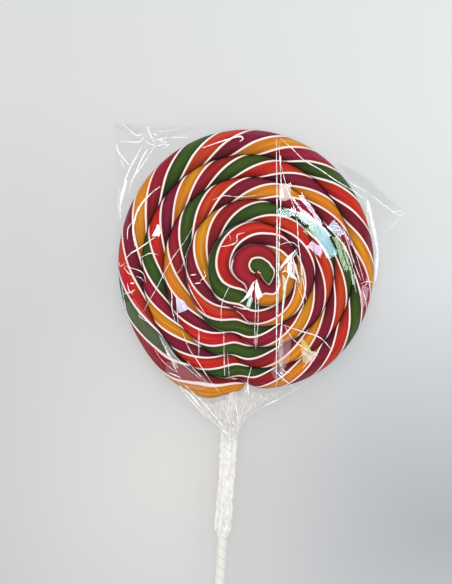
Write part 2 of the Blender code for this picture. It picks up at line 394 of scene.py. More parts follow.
def sheet_point(across, down):
    """A Coons patch between the bag's four edges."""
    left, right = side_point(LEFT_SIDE, down), side_point(RIGHT_SIDE, down)
    bottom = Vector(LEFT_SIDE[-1]).lerp(Vector(RIGHT_SIDE[-1]), across)
    corners = Vector(TOP_SIDE[0]).lerp(Vector(TOP_SIDE[-1]), across).lerp(bottom, down)
    return top_at(across).lerp(bottom, down) + left.lerp(right, across) - corners


def outline_distance(angle):
    """Distance from the coil's middle to the bag's outline."""
    turn = math.radians(angle)
    ray = Vector((-math.sin(turn), -math.cos(turn)))
    start = COIL_CENTRE.xy
    found = 0
    for side in (LEFT_SIDE, RIGHT_SIDE, TOP_SIDE):
        for a, b in zip(side, side[1:]):
            hit = geometry.intersect_line_line_2d(start, start + ray, Vector(a), Vector(b))
            if hit:
                found = max(found, (hit - start).length)
    return found


OUTLINE = []
LEAST_REACH = 0.001  # how far past the rim the film goes next to the neck, and on the far side
MOST_REACH = 0.06
NECK_ANGLES = (25, 70)


def reach(angle):
    """How far the bag goes out from the coil's middle, no further than its rim towards the neck."""
    if not OUTLINE:
        OUTLINE.extend(outline_distance(i) for i in range(360))
    i = int(angle) % 360
    far = OUTLINE[i] + (OUTLINE[(i + 1) % 360] - OUTLINE[i]) * (angle % 1)
    from_neck = min(angle % 360, 360 - angle % 360)
    rim = rim_radius(angle) + FILM_REACH
    return max(rim, min(far, rim + LEAST_REACH + MOST_REACH * smooth(from_neck, *NECK_ANGLES)))


RIM_HALF_WIDTH = 0.0053


def head_height(x, y, full):
    """Height of the film drawn over the candy's rim, and from there straight down to the bag's edge."""
    place = Vector((x, y)) - COIL_CENTRE.xy
    radius = place.length
    angle = math.degrees(math.atan2(-place.x, -place.y)) % 360
    middle = rim_radius(angle) - RIM_HALF_WIDTH
    if radius < middle:
        return full
    half_width = RIM_HALF_WIDTH + FILM_REACH
    edge = max(reach(angle) - middle, half_width)
    touch = half_width ** 2 / edge
    out = radius - middle
    if out < touch:
        return full * math.sqrt(1 - (out / half_width) ** 2)
    slope = math.sqrt(max(1 - (half_width / edge) ** 2, 0))
    return full * slope * (1 - ramp(out, touch, edge + TINY))


CONE_START_Y = -0.035
CONE_TOP_Y = -0.060
CONE_CURVE = 1.7
CONE_ROUND = 0.078  # from here down it rounds off into the neck


def cone_height(x, y, full):
    """Height of the film from the candy down to the neck."""
    if y > CONE_START_Y:
        return 0
    left, right = side_at(LEFT_SIDE, y), side_at(RIGHT_SIDE, y)
    off = min(abs(2 * (x - left) / (right - left) - 1), 1)
    neck = neck_radius(y)
    half = neck + (full - neck) * smooth(y, NECK_TOP_Y, CONE_TOP_Y)
    curve = CONE_CURVE + (2 - CONE_CURVE) * smooth(-y, CONE_ROUND, -NECK_TOP_Y)
    return half * (1 - off ** curve) ** (1 / curve)


# The film's slack: each wave's height in metres and its length in millimetres.
WAVES = ((0.000002, 9), (0.000004, 30))
WAVE_SEED = 900
WAVE_FADE = 0.004
PLEATED = (0.066, 0.090)  # from the first to the second distance below the origin the pleats grow
NECK_TWIST = 55  # radians a metre
PLEATS = ((0.10, 5, 1, 0), (0.07, 9, -1.3, 1))  # each: share, number round the stick, lean, start
CRUMPLE = 0.16
CRUMPLE_ROUND = 3
CRUMPLE_ALONG = 350


def film_height(x, y, full=FILM_FRONT):
    """Height of the film above or below the bag's middle, with its slack."""
    height = max(head_height(x, y, full), cone_height(x, y, full))
    wave = sum(size * noise.noise(Vector((x / MM / length, y / MM / length, full * WAVE_SEED))) * 2
               for size, length in WAVES)
    return height + wave * ramp(height, 0, WAVE_FADE)


def pleat(turn, y):
    """Share by which the gathered film stands out, round the stick."""
    strength = smooth(-y, *PLEATED) * ramp(y, NECK_END_Y, NECK_END_Y + NECK_CLOSE)
    twist = NECK_TWIST * (y - NECK_TOP_Y) * strength
    folds = sum(share * math.sin(count * turn + twist * lean + start)
                for share, count, lean, start in PLEATS)
    place = Vector((CRUMPLE_ROUND * math.cos(turn), CRUMPLE_ROUND * math.sin(turn), y * CRUMPLE_ALONG))
    return strength * (folds + CRUMPLE * noise.noise(place))


def past_rim(x, y):
    """How far a point is outside the candy's rim."""
    away = Vector((x, y)) - COIL_CENTRE.xy
    return away.length - rim_radius(math.degrees(math.atan2(-away.x, -away.y)))


# How milky the gathered film is over its cone and where it is crumpled round the top of the stick, how far
# that reaches sideways, and over which distances below the origin each part of it comes in.
CONE_MILK = 0.56
STICK_MILK = 0.50
STICK_REACH = 0.0065
CONE_MILKY = (0.052, 0.062)
STICK_MILKY = (0.062, 0.078)
NECK_MILKY = (0.068, 0.094)
RIM_CLEAR = (0.0005, 0.0035)  # past the candy's rim


def milkiness(x, y):
    """How much the film's own layers hide what is behind them."""
    round_stick = STICK_MILK * math.exp(-(x / STICK_REACH) ** 2) * smooth(-y, *STICK_MILKY)
    most = max(smooth(-y, *NECK_MILKY), round_stick, CONE_MILK * smooth(-y, *CONE_MILKY))
    return most * smooth(past_rim(x, y), *RIM_CLEAR)


ACROSS = 150
DOWN = 240
ROW_CURVE = 1.35  # above 1, rows lie closer together at the top


def make_bag():
    """Front and back sheets, one grid each, joined along their edges."""
    form = bmesh.new()
    bunched = form.verts.layers.float.new("bunched")
    for side, full in ((1, FILM_FRONT), (-1, FILM_BACK)):
        grid = bmesh.ops.create_grid(form, x_segments=ACROSS, y_segments=DOWN, size=0.5)
        for vert in grid["verts"]:
            turn = math.pi * (vert.co.x + 0.5)
            across = 0.5 - 0.5 * math.cos(turn)
            share = 0.5 - vert.co.y
            flat = sheet_point(across, share ** ROW_CURVE)
            height = film_height(flat.x, flat.y, full)
            if across in (0, 1) or share == 0:
                height = 0
            turn = math.pi - turn if side > 0 else math.pi + turn
            fold = 1 + pleat(turn, flat.y)
            if flat.y < CONE_TOP_Y:
                middle = (side_at(LEFT_SIDE, flat.y) + side_at(RIGHT_SIDE, flat.y)) / 2
                flat.x = middle + (flat.x - middle) * fold
            vert.co = Vector((flat.x, flat.y, MIDDLE_Z + side * height * fold))
            vert[bunched] = milkiness(flat.x, flat.y)
    bmesh.ops.remove_doubles(form, verts=form.verts, dist=WELD)
    bmesh.ops.recalc_face_normals(form, faces=form.faces)
    return finish_mesh(form, "film_bag")


# ---------------------------------------------------------------- folds pressed into the film, and painted highlights and reflections on it

# Each fold: its width, how white it is, and X and Y of each place it runs through, in millimetres. Its
# white is partly the film's stress whitening and partly a painted highlight; the wide, faint folds are
# painted sheen.
FOLDS = (
    # left ear
    (0.7, 1, -64.5, 65, -57, 59.5, -53.5, 60.5), (0.6, 0.9, -66, 56, -55.5, 56, -52.5, 59.5),
    (0.8, 1, -52, 65, -50, 60.5, -47, 56), (0.6, 0.9, -52, 57, -50, 55.5, -47, 55),
    (0.6, 0.9, -47, 55, -49.5, 50, -53.5, 43, -57, 37, -58.5, 30),
    (1.1, 1, -50.5, 53, -53, 48, -55.5, 41, -58, 35),
    (1.1, 1, -53.5, 54, -56, 48.5, -58.5, 43.5, -60.5, 37.5, -61.5, 30.5, -62.5, 25, -62, 17.5),
    (2.6, 1, -60, 36.5, -61.5, 30.5, -62.5, 23.5),
    (0.9, 0.9, -66.5, 55, -65.5, 51, -62.5, 47.5, -59, 44), (0.6, 0.6, -64, 47, -61.5, 42.5),
    (0.5, 0.7, -47.5, 62, -42, 62.5, -36, 64), (0.6, 0.8, -39.5, 59.5, -30.5, 60),
    (0.7, 0.9, -47, 57.5, -44, 58.5, -40.5, 59.5), (0.7, 0.8, -46.5, 54.5, -43, 55.5, -39.5, 56),
    (0.6, 0.6, -43, 53.5, -39.5, 56), (1.1, 0.9, -48.5, 61, -46.5, 60),
    (0.5, 0.6, -35, 60.5, -32.5, 62), (0.5, 0.5, -63.5, 34, -63.5, 26.5, -63, 18.5),
    (3, 0.25, -45.5, 58, -41, 56.5),
    # upper left
    (1.1, 1, -23.5, 55, -14, 59, -5.5, 62, -3.5, 61, -5, 59.5),
    (1.4, 1, -43, 34.5, -47, 31, -51.5, 25.5, -54, 19.5, -55, 12, -53.5, 4),
    (0.7, 0.8, -55, 17, -57.5, 12.5, -57.5, 7), (0.6, 0.7, -16.5, 29.5, -11, 32, -3, 32, 8, 34),
    # left
    (2.5, 1, -43, 15.5, -42, 9.5), (0.9, 1, -43.5, 9.5, -47, 6.5, -52, 2.5, -55, 0.5, -58, -3),
    (0.6, 0.9, -41.5, 0.5, -45.5, 1, -48.5, -0.5, -51, -2),
    (0.6, 0.9, -58.5, -6, -54.5, -7, -50.5, -8, -48, -10, -47, -13.5),
    (0.5, 0.8, -52, -11, -49.5, -11.5, -48, -13), (0.6, 0.9, -58.5, -6.5, -56, -9.5, -53.5, -10.5),
    (0.6, 0.9, -57.5, -20, -54, -19, -52, -17.5), (1.2, 0.8, -54.5, -14.5, -52.5, -14.5),
    (0.6, 0.7, -61, -4.5, -60, -6.5, -57.5, -4), (0.6, 0.8, -56, -14.5, -55, -18, -53, -20),
    (0.5, 0.9, -24, 18.5, -29, 8, -34, 0, -37.5, -7, -41, -15.5, -44.5, -22.5, -47, -28),
    (0.4, 0.6, -24.5, 11.5, -27.5, 2.5, -30, -6, -35, -10.5),
    (0.7, 1, -34.5, -16.5, -33.5, -19, -33, -25.5, -31, -32),
    (0.6, 1, -31.5, -18.5, -30.5, -25, -29.5, -33), (0.7, 1, -25, -8.5, -22, -8),
    (1, 1, -22.5, -12.5, -19.5, -12), (0.6, 0.9, -18.5, -5.5, -17.5, -8.5, -20, -11),
    (0.5, 0.8, -26, -12.5, -22.5, -19, -14.5, -29.5), (0.5, 0.6, -49.5, -28, -48.5, -31, -44, -33.5),
    (0.5, 0.7, -59, -14, -58, -19.5, -55, -30, -49.5, -38), (3, 0.45, -29, -21, -26.5, -26.5),
    # seam
    (0.9, 1, 13, 62.5, 15.5, 31.5, 17.5, 1, 19.5, -30.5, 21.5, -61.5),
    (0.8, 1, 14.5, 60, 17, 39, 18, 12, 19, -10, 20, -30),
    # upper right
    (1.6, 1, 15.5, 54, 16, 50),
    (0.7, 1, 15, 62.5, 21, 58, 27.5, 52.5, 35.5, 48.5, 44, 43.5, 54, 38.5, 59, 35),
    (0.6, 0.9, 51, 43, 57.5, 40, 60.5, 39),
    # right ear
    (0.6, 0.9, 63, 37, 73, 30.5, 78.5, 28), (0.5, 0.9, 74, 30, 78, 30.5, 79, 29.5, 78, 28),
    (0.4, 0.5, 78, 27.5, 72, 21, 67, 16.5),
    (2.6, 1, 60.5, 35, 62, 30, 64, 22.5, 66, 16, 67.5, 9, 67.5, 1.5, 67.5, -5.5),
    (0.5, 0.7, 58.5, 36.5, 60.5, 32, 61.5, 24, 63.5, 17),
    # right
    (0.7, 1, 16, 50, 19.5, 39.5, 23, 31.5, 26, 23, 27.5, 11.5, 29.5, 1.5, 30.5, -12),
    (0.6, 0.7, 48.5, 20, 52, 13, 56, 3, 60, -5.5), (0.6, 0.6, 50, 21, 54.5, 12.5, 58.5, 2.5, 61.5, -6),
    (1.7, 0.35, 48, 15.5, 51.5, 6.5, 55.5, -3.5, 58, -11.5), (1.2, 0.3, 51, 15, 55, 5.5, 59, -4),
    (0.7, 0.9, 60, -7, 63.5, -5.5, 66, -6), (0.6, 0.8, 61, -9, 63, -6.5, 62.5, -4),
    (0.6, 0.8, 61, -10, 63, -15, 64, -21),
    # star
    (0.9, 1, 19, -3.5, 23, 2.5, 27, 8), (0.6, 1, 21, -4, 24, 1.5, 27.5, 7),
    (1.3, 1, 24.5, 5.5, 24.5, -0.5, 23.5, -6.5, 21.5, -13), (1.1, 1, 25, 4.5, 27.5, -2.5, 29.5, -8.5),
    (0.7, 0.9, 20, -4, 24, -3.5, 29, -9), (0.6, 0.9, 18.5, 9.5, 22, 11, 25, 11, 28.5, 8.5),
    (1.5, 0.45, 24, 3.5, 26, -1.5, 26.5, -7), (1, 1, 22.5, -9.5, 22, -20, 22, -32.5, 21, -43.5),
    (0.6, 0.8, 28.5, 5, 30, -1, 31.5, -9, 33.5, -17), (0.5, 0.7, 28, -9.5, 31, -15, 32, -20, 30, -26),
    # lower right
    (0.7, 1, 22.5, -30, 31.5, -32.5, 40, -34.5, 44.5, -37.5, 48, -41.5),
    (0.6, 0.9, 23.5, -30.5, 27, -35.5, 31.5, -39.5, 37.5, -42.5, 41.5, -44.5),
    (3.5, 0.35, 33.5, -43, 38.5, -46.5), (0.8, 0.9, 19.5, -52.5, 25.5, -57.5, 31, -61.5),
    (4, 0.2, 22, -31.5, 22.5, -42.5, 24.5, -58.5), (0.7, 0.8, 21.5, -48, 25, -53, 28, -53.5),
    (1.2, 0.7, 22.5, -53.5, 25, -55), (0.5, 0.8, 34, -51, 37.5, -45.5, 41.5, -42.5),
    # middle
    (0.5, 0.9, 7.5, -9, 8, -16.5, 8.5, -24, 9, -41), (0.5, 0.9, 9, -13.5, 10, -24.5, 10.5, -41),
    (1, 1, 7.5, -9, 6, -11.5, 3.5, -17, 0.5, -20.5), (1.6, 1, 8, -8.5, 9.5, -13, 11.5, -17),
    (0.9, 0.9, 6, -11, 6, -16.5, 5, -22), (0.5, 0.9, -5, -12.5, -7, -17, -8.5, -23, -8, -31),
    (0.8, 0.9, -2.5, -22.5, 2.5, -23.5, 5.5, -23), (0.5, 0.8, -1, -24.5, 2.5, -27, 5.5, -30.5),
    (0.7, 0.9, -5.5, 7.5, -3, 10, -3, 13, 0.5, 14.5), (0.6, 0.8, -11.5, 6.5, -7, 7.5, -4, 9),
    (0.5, 0.7, -7, 13, -6, 10),
    # lower left
    (1.3, 0.4, -19, -34.5, -18, -49), (1.1, 0.4, -6.5, -35.5, -5.5, -47.5, -4.5, -57.5),
    (0.6, 0.5, -4, -45.5, -2, -59.5), (0.6, 0.8, 9.5, -33.5, 10, -43), (0.8, 0.9, 7, -58.5, 8, -67),
    (0.7, 0.8, 8.5, -52, 7, -59), (0.5, 0.8, -27.5, -36, -23.5, -44.5, -18.5, -51, -11, -61, -4.5, -68),
    (1, 0.6, -38.5, -39.5, -34.5, -46.5, -31, -52.5, -28, -57.5),
    (0.5, 0.6, -40.5, -46.5, -35.5, -52.5, -29, -57),
    (0.5, 0.6, -34.5, -44, -29.5, -49.5, -23, -55, -14.5, -61),
    (0.8, 0.8, -33, -57.5, -28.5, -59, -26, -60), (0.6, 0.7, -24, -51, -19, -56, -13, -61.5),
    (2.5, 0.3, -35.5, -44, -32.5, -49.5, -28, -55),
    # cone
    (1.8, 1, -26.5, -64, -20.5, -68.5, -11.5, -78.5, -5, -83.5, -0.5, -87),
    (1, 0.9, -24, -63.5, -15.5, -70.5, -9, -77, -3.5, -82.5),
    (1.3, 0.9, -26, -65.5, -19.5, -72, -11.5, -79.5), (0.6, 1, -1, -65.5, -3, -68.5),
    (0.5, 0.8, 7, -60.5, 7, -66.5),
    (0.6, 0.4, 41.8, -53.8, 33.3, -60.4, 25.2, -65.9, 15.1, -72.1, 8, -77.1, 4.7, -80.8),
    (1, 0.8, 16.5, -71, 23, -67.5), (0.5, 0.6, 5.5, -68, 3.5, -75, 2.5, -81),
    (0.5, 0.6, 0, -69.5, 0, -76, 1, -82), (0.6, 0.6, -6.5, -68.5, -3, -75.5, 0, -81.5),
    (0.5, 0.5, -12.5, -70, -7, -76, -1.5, -81), (0.5, 0.5, 12, -68.5, 7.5, -74.5, 3.5, -79.5),
    # neck
    (0.8, 1, -5, -92.4, -2.4, -93.8, 0.5, -92.6),
    (1, 1, -3.8, -95.3, -1.9, -94.2, -0.2, -96.6, -1, -99.6),
    (0.7, 0.9, -4.6, -97.9, -3, -99.8, -1.4, -101.2), (0.8, 0.9, 0.1, -93.6, 1.3, -96.5, 1, -100),
    (0.6, 0.8, 2.1, -65, 2.1, -71.5, 3.6, -78.9, 3.8, -88.8, 3.4, -98.8, 3.5, -113.8),
    (0.6, 0.7, -0.8, -65.2, -1.3, -73.2, 1.3, -81.5, 2.3, -88.9),
    (0.5, 0.7, -3.1, -75.3, -0.3, -81.1, 3.1, -86.9), (0.5, 0.7, -1.8, -73.2, 0.6, -79.1, 3.9, -83.8),
    (0.5, 0.6, -4.2, -81.9, -0.8, -87.2, 2, -92), (0.5, 0.6, -3, -70.3, -1.6, -76.2, 0.3, -81.6),
    (0.5, 0.5, 7.7, -66.1, 5.7, -72.7, 4.6, -78.8), (0.5, 0.6, -3.2, -104.3, -0.5, -107.1, 2.3, -111.4),
    (0.6, 0.6, -1.9, -100.7, 0.8, -104, 2.1, -107.9),
)
# Where the film lies flat: painted reflections and highlights, and grey veils on the ears. How strongly
# each shows, its tint, and X and Y of its corners in mm.
FACETS = (
    # ears
    (0.2, "A6A8A8", -69, 63.4, -60.1, 64.5, -53.5, 63.5, -54.8, 60.4, -60.8, 60.5, -64.9, 62.2),
    (0.12, "ACA8A0", -52, 63.1, -40.2, 65.4, -27.2, 65.8, -34.9, 61.3, -44.7, 58.1, -49.8, 60.2),
    (0.22, "9DA2A4", 43.5, 53.1, 50.7, 50.1, 58.4, 46.7, 65.3, 41.1, 70.6, 36.5, 75.3, 33.3, 69.3, 33.9,
     60.4, 39.8, 51, 45.2),
    # left
    (0.08, "F6F2F4", -28.2, -51.6, -22.1, -53.7, -14.8, -58.2, -9.5, -63.3, -15.3, -65.2, -24.8, -64.8,
     -33.7, -59, -34.2, -52.5),
    (0.05, "F6F2F4", -56.5, -24.6, -52.2, -21.8, -42.5, -33.1, -32.6, -45.4, -27.2, -52.5, -33.2, -51.4,
     -43.7, -44.7, -53.4, -33.8),
    (0.2, "F6F2F4", -40.3, -35.4, -36, -40.6, -31.6, -46.3, -27.7, -52.1, -31.3, -50.3, -35.7, -44.6),
    (0.8, "DCD4F4", -31.4, -19.4, -27.3, -21.6, -24.5, -25.4, -27.9, -27.1, -29.4, -27.7, -30.6, -23.8),
    (0.95, "FFFFFF", -42.3, 15.8, -41, 11.4, -42.9, 9.8, -45.4, 9.6, -44.1, 12.7),
    # middle
    (0.95, "FFFFFF", 6.4, -9.8, 7.1, -13.2, 5.3, -16.9, 1.1, -20.6, 3.3, -16.5),
    (0.95, "FFFFFF", 7.8, -9.2, 10.1, -14, 11.3, -16.5, 9, -18.6, 7.6, -13.7),
    (0.7, "C8E4DC", 4.9, -17.4, 6.9, -17.7, 5.7, -22.8, 3.7, -22),
    # star
    (0.95, "FFFFFF", 27.1, 8.1, 23.1, 1.3, 18.8, -2.5, 22.9, 4.3),
    (0.85, "FFFFFF", 23, 1.8, 25.2, -0.5, 25.4, -3.5, 28.6, -7.3, 24.6, -6.1, 22.9, -3.7),
    (0.35, "F0E0E8", 24.4, 3.4, 27.7, -0.4, 28.5, -5.8, 25.8, -2.5),
    (0.6, "F6EAC8", 20.5, -4.8, 23.2, -7.7, 22.9, -17.7, 21.6, -28.7, 21.5, -12.8),
    # right
    (0.45, "F2E29A", 32, -35, 37.5, -41.6, 36, -48.7, 33.9, -47.9, 32.6, -43),
    (0.55, "F4DCCC", 36, -42.2, 41.5, -42.3, 39.3, -47, 35.4, -48.2),
    (0.14, "F0D6E0", 21.3, -38.7, 27.5, -34.8, 26.9, -47.3, 21.8, -60.2, 18.4, -53.9),
    (0.45, "E8B4C6", 60.6, -7.6, 64.2, -8.9, 63.6, -14.9, 61.5, -20, 60.1, -15.1),
    (0.55, "F4E8DC", 16, 39.3, 21, 39.1, 22.9, 33.3, 19.5, 31.5, 16.5, 31.8),
    (0.95, "FFFFFF", 16.8, 41.3, 18, 38.9, 18.9, 33, 17, 32.4),
)
FOLD_STEPS = 10
FOLD_ROWS = 4
FOLD_LIFT = 0.00012
FOLD_HEIGHT = 0.00022
FOLD_AHEAD = 0.01
FOLD_END = 0.03  # how far the taper to a point is cut short at each end
FOLD_TAPER = 0.6
MEAN_WIDTH = 0.8  # its width varies about this share, by up to the next
UNEVEN_WIDTH = 0.4
UNEVEN_SCALE = 300


def points_of(places):
    """X and Y in turn, as points."""
    return list(zip(places[::2], places[1::2]))


def on_curve(points, share):
    """A point a share of the way along a smooth curve through the points."""
    place = share * (len(points) - 1)
    i = min(int(place), len(points) - 2)
    part = place - i
    a, b = Vector(points[i]), Vector(points[i + 1])
    before = Vector(points[i - 1]) if i else a * 2 - b
    after = Vector(points[i + 2]) if i + 2 < len(points) else b * 2 - a
    return (a * 2 + (b - before) * part + (before * 2 - a * 5 + b * 4 - after) * part ** 2
            + (a * 3 - before - b * 3 + after) * part ** 3) / 2


def add_fold(form, width, white, points):
    """A narrow ridge that tapers to both ends, lying on the film."""
    layer = form.verts.layers.float["white"]
    steps = FOLD_STEPS * (len(points) - 1)
    grid = bmesh.ops.create_grid(form, x_segments=steps, y_segments=FOLD_ROWS, size=0.5)
    for vert in grid["verts"]:
        share = vert.co.x + 0.5
        across = vert.co.y * 2
        place = on_curve(points, share) * MM
        ahead = on_curve(points, min(share + FOLD_AHEAD, 1)) - on_curve(points, max(share - FOLD_AHEAD, 0))
        ahead.normalize()
        taper = math.sin(math.pi * (FOLD_END + (1 - 2 * FOLD_END) * share)) ** FOLD_TAPER
        spot = Vector((place.x * UNEVEN_SCALE, place.y * UNEVEN_SCALE, width))
        taper *= MEAN_WIDTH + UNEVEN_WIDTH * noise.noise(spot)
        place += Vector((-ahead.y, ahead.x)) * across * width * MM / 2 * taper
        rise = FOLD_LIFT + FOLD_HEIGHT * (1 - across ** 2) * taper
        vert.co = Vector((place.x, place.y, MIDDLE_Z + film_height(place.x, place.y) + rise))
        # How white the crest is: stress whitening and a painted highlight.
        vert[layer] = white * (1 - across ** 2)
    faces = {face for vert in grid["verts"] for face in vert.link_faces}
    bmesh.ops.recalc_face_normals(form, faces=list(faces))


def make_folds():
    form = bmesh.new()
    form.verts.layers.float.new("white")
    for width, white, *places in FOLDS:
        add_fold(form, width, white, points_of(places))
    return finish_mesh(form, "film_folds")


FACET_LIFT = 0.00006
FACET_CUTS = 3


def make_facets():
    """Flat faces of the film carrying painted reflections, a little in front of it, cut fine enough to
    follow it.
    """
    form = bmesh.new()
    layer = form.verts.layers.float.new("white")
    tints = form.verts.layers.float_color.new("tint")
    for white, tint, *places in FACETS:
        start = len(form.verts)
        face = form.faces.new([form.verts.new((x * MM, y * MM, 0)) for x, y in points_of(places)])
        face.normal_update()
        if face.normal.z < 0:
            face.normal_flip()
        fan = bmesh.ops.poke(form, faces=[face])["faces"]
        edges = {edge for part in fan for edge in part.edges}
        bmesh.ops.subdivide_edges(form, edges=list(edges), cuts=FACET_CUTS, use_grid_fill=True)
        form.verts.ensure_lookup_table()
        for vert in form.verts[start:]:
            # How strongly the painted reflection shows, and its tint.
            vert[layer] = white
            vert[tints] = colour(tint)
            vert.co.z = MIDDLE_Z + film_height(vert.co.x, vert.co.y) + FACET_LIFT
    return finish_mesh(form, "film_facets")


# ---------------------------------------------------------------- materials

def colour(code):
    """An sRGB hex colour as linear RGBA."""
    channels = [int(code[i:i + 2], 16) / 255 for i in (0, 2, 4)]
    return [c / 12.92 if c <= 0.04045 else ((c + 0.055) / 1.055) ** 2.4 for c in channels] + [1.0]


def new_material(name):
    material = bpy.data.materials.new(name)
    material.use_nodes = True
    material.node_tree.nodes.clear()
    return material


def add(material, kind, settings=None, **links):
    """Adds a node. Settings are properties or socket values; a link names a socket or is _ and a number."""
    node = material.node_tree.nodes.new(kind)
    for key, value in (settings or {}).items():
        if hasattr(node, key):
            setattr(node, key, value)
        else:
            node.inputs[key].default_value = value
    for key, source in links.items():
        socket = int(key[1:]) if key[0] == "_" else key.replace("_", " ")
        material.node_tree.links.new(source, node.inputs[socket])
    return node


def place_of(material):
    return add(material, "ShaderNodeTexCoord").outputs["Object"]


def attribute(material, name, output="Fac"):
    """A value or a colour that the mesh carries."""
    return add(material, "ShaderNodeAttribute", {"attribute_name": name}).outputs[output]


def remap(material, source, from_low, from_high, to_low=0.0, to_high=1.0):
    """A value carried over from one range to another."""
    ends = {"From Min": from_low, "From Max": from_high, "To Min": to_low, "To Max": to_high}
    return add(material, "ShaderNodeMapRange", ends, _0=source).outputs[0]


def grain(material, source, scale, detail, turned=0.0, roughness=0.5):
    """Fine noise, so many times a metre each way, drawn out where one way has fewer."""
    drawn = add(material, "ShaderNodeMapping", {"Rotation": (0, 0, turned), "Scale": scale}, _0=source)
    fineness = {"Scale": 1.0, "Detail": detail, "Roughness": roughness}
    return add(material, "ShaderNodeTexNoise", fineness, Vector=drawn.outputs[0]).outputs[0]


def colour_ramp(material, source, stops):
    """Colours by a value: each stop is a position and a hex colour."""
    tones = add(material, "ShaderNodeValToRGB", _0=source)
    elements = tones.color_ramp.elements
    for element, (position, code) in zip(elements, (stops[0], stops[-1])):
        element.position = position
        element.color = colour(code)
    for position, code in stops[1:-1]:
        elements.new(position).color = colour(code)
    return tones.outputs[0]


def both_of(material, first, second):
    """Two shares multiplied."""
    clamped = {"operation": "MULTIPLY", "use_clamp": True}
    return add(material, "ShaderNodeMath", clamped, _0=first, _1=second).outputs[0]


def over(material, share, surface, behind):
    """As much of a surface as its share, over what is behind it."""
    return add(material, "ShaderNodeMixShader", None, _0=share, _1=behind.outputs[0], _2=surface.outputs[0])


def finished(material, shader):
    add(material, "ShaderNodeOutputMaterial", Surface=shader.outputs[0])
    return material


WHITE_LINE = "F2DCD6"
LINE_HALF_WIDTH = 0.0115
LINE_EDGE = 0.005


def pulled_sugar():
    """Boiled sugar, coloured and pulled until it is opaque and silky: streaks run along each strand."""
    material = new_material("pulled_sugar")
    uv = add(material, "ShaderNodeUVMap", {"uv_map": "stripes"}).outputs[0]
    split = add(material, "ShaderNodeSeparateXYZ", _0=uv)
    phase = add(material, "ShaderNodeMath", {"operation": "FRACT"}, _0=split.outputs[0])
    stops = []
    start = 0.0
    for (edge, heart), end in zip(STRIPE_COLOURS, STRIPE_ENDS):
        stops += [(start + LINE_HALF_WIDTH, WHITE_LINE), (start + LINE_HALF_WIDTH + LINE_EDGE, edge),
                  ((start + end) / 2, heart), (end - LINE_HALF_WIDTH - LINE_EDGE, edge),
                  (end - LINE_HALF_WIDTH, WHITE_LINE)]
        start = end
    stripes = colour_ramp(material, phase.outputs[0], stops)
    streaks = remap(material, grain(material, uv, (45, 3, 1), 4.0, roughness=0.6), 0.3, 0.7, 0.70, 1.25)
    # Painted shade: the colour darkens towards the grooves, the white lines less than the strands.
    pale = add(material, "ShaderNodeRGBToBW", _0=stripes)
    darkest_painted_shade = remap(material, pale.outputs[0], 0.05, 0.5, 0.14, 0.93)
    depth = attribute(material, "painted_groove_shade")
    shade = add(material, "ShaderNodeMapRange", {"To Min": 1.0}, _0=depth, To_Max=darkest_painted_shade)
    both = add(material, "ShaderNodeMath", {"operation": "MULTIPLY"}, _0=streaks, _1=shade.outputs[0])
    dyed = add(material, "ShaderNodeVectorMath", {"operation": "SCALE"}, _0=stripes, Scale=both.outputs[0])
    hue = remap(material, grain(material, uv, (9, 1.6, 1), 2.0), 0.3, 0.7, 0.486, 0.514)
    varied = add(material, "ShaderNodeHueSaturation", Hue=hue, Color=dyed.outputs[0])
    sheen = {"Roughness": 0.5, "IOR": 1.4, "Specular IOR Level": 0.3}
    shader = add(material, "ShaderNodeBsdfPrincipled", sheen, Base_Color=varied.outputs[0])
    return finished(material, shader)


FILM_MIRROR = 0.022  # share of the light that the film's two faces send back, and edge-on
EDGE_MIRROR = 0.22
EDGE_POWER = 5.0


def cellophane():
    """Clear cellulose film: only its gloss shows, and where it is gathered its layers turn it milky."""
    material = new_material("cellophane")
    place = place_of(material)
    clear = add(material, "ShaderNodeBsdfTransparent")
    gloss = add(material, "ShaderNodeBsdfGlossy", {"Color": colour("FFFFFF"), "Roughness": 0.01})
    slant = add(material, "ShaderNodeLayerWeight", {"Blend": 0.5})
    edge_on = add(material, "ShaderNodeMath", {"operation": "POWER"}, _0=slant.outputs["Facing"])
    edge_on.inputs[1].default_value = EDGE_POWER
    mirrored = remap(material, edge_on.outputs[0], 0, 1, FILM_MIRROR, EDGE_MIRROR)
    tones = ((0.30, "C8C3BC"), (0.52, "E4E2DD"))
    tone = colour_ramp(material, grain(material, place, (1100, 420, 1100), 4.0, turned=0.45), tones)
    milk = add(material, "ShaderNodeBsdfPrincipled", {"Roughness": 0.25}, Base_Color=tone)
    streaks = remap(material, grain(material, place, (700, 160, 700), 3.0), 0.4, 0.65)
    bunched = attribute(material, "bunched")
    white = add(material, "ShaderNodeMath", {"operation": "MULTIPLY_ADD", "use_clamp": True}, _0=streaks,
                _1=bunched, _2=bunched)
    film = over(material, mirrored, gloss, clear)
    return finished(material, over(material, both_of(material, white.outputs[0], bunched), milk, film))


def creased_film_painted_glints():
    """Film stressed where it is folded sharp: white along the fold, in broken lengths, partly stress and
    partly painted highlight.
    """
    material = new_material("creased_cellophane_painted_glints")
    clear = add(material, "ShaderNodeBsdfTransparent")
    line = add(material, "ShaderNodeBsdfPrincipled", {"Base Color": colour("FFFFFF"), "Roughness": 0.15})
    breaks = grain(material, place_of(material), (900, 900, 900), 3.0)
    broken = remap(material, breaks, 0.32, 0.55, 0.35, 1.5)
    shown = both_of(material, broken, attribute(material, "white"))
    return finished(material, over(material, shown, line, clear))


def film_painted_reflections():
    """Painted reflections on film that lies flat and catches the light all over: a thin, finely streaked
    and tinted veil.
    """
    material = new_material("cellophane_painted_reflections")
    clear = add(material, "ShaderNodeBsdfTransparent")
    veil = add(material, "ShaderNodeBsdfPrincipled", {"Roughness": 0.4},
               Base_Color=attribute(material, "tint", "Color"))
    streaks = grain(material, place_of(material), (900, 120, 900), 3.0, turned=0.5)
    uneven = remap(material, streaks, 0.35, 0.65, 0.85, 1.1)
    shown = both_of(material, uneven, attribute(material, "white"))
    return finished(material, over(material, shown, veil, clear))


